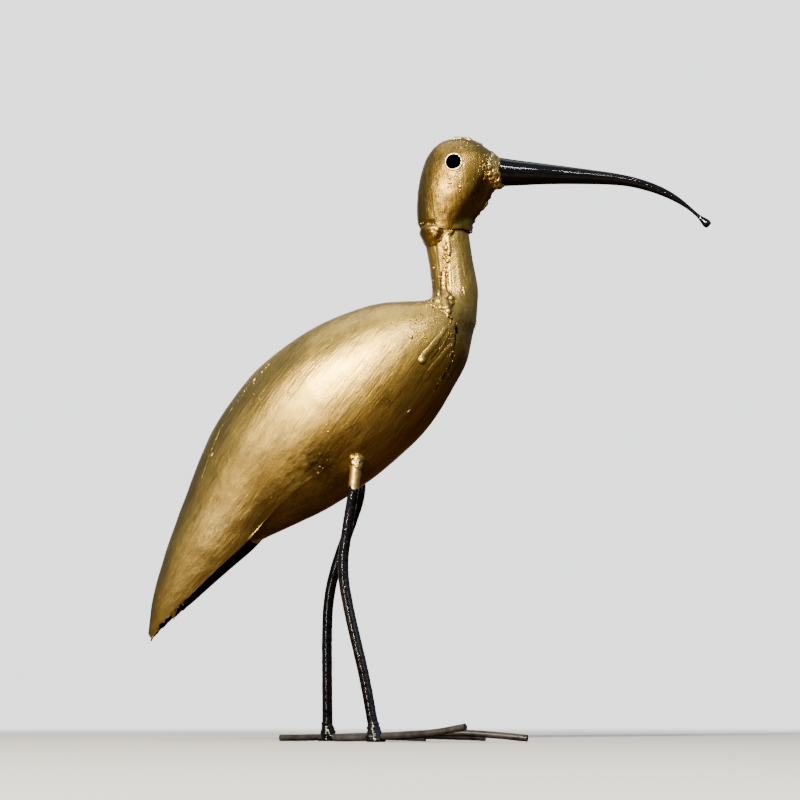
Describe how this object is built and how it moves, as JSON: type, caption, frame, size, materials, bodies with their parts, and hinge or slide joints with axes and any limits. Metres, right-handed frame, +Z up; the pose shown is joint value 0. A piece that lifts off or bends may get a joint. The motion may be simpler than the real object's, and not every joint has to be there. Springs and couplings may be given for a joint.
{
  "type": "metal ibis figure",
  "caption": "Standing ibis of welded sheet steel, painted gold, with a long black down-curved beak, bent bar legs and bar toes.",
  "frame": {"origin": "on the ground under the middle of the figure's bounding box", "axes": "+X towards the beak, +Y to the bird's left, +Z up"},
  "size_m": [0.5481, 0.17, 0.5857],
  "materials": {
    "gold_paint": "hand-brushed metallic gold paint over hammered and welded sheet steel",
    "black_gloss_paint": "thick glossy black paint",
    "worn_black_paint": "thin dull black paint over dark steel bar"
  },
  "bodies": {
    "root": {"back_shell": "gold_paint", "breast_plate": "gold_paint", "neck_back": "gold_paint", "head_shell": "gold_paint", "beak": "black_gloss_paint", "right_leg": "black_gloss_paint", "right_outer_toe": "worn_black_paint", "right_middle_toe": "worn_black_paint", "right_inner_toe": "worn_black_paint", "left_leg": "black_gloss_paint", "left_outer_toe": "worn_black_paint", "left_middle_toe": "worn_black_paint", "left_inner_toe": "worn_black_paint"}
  },
  "joints": []
}
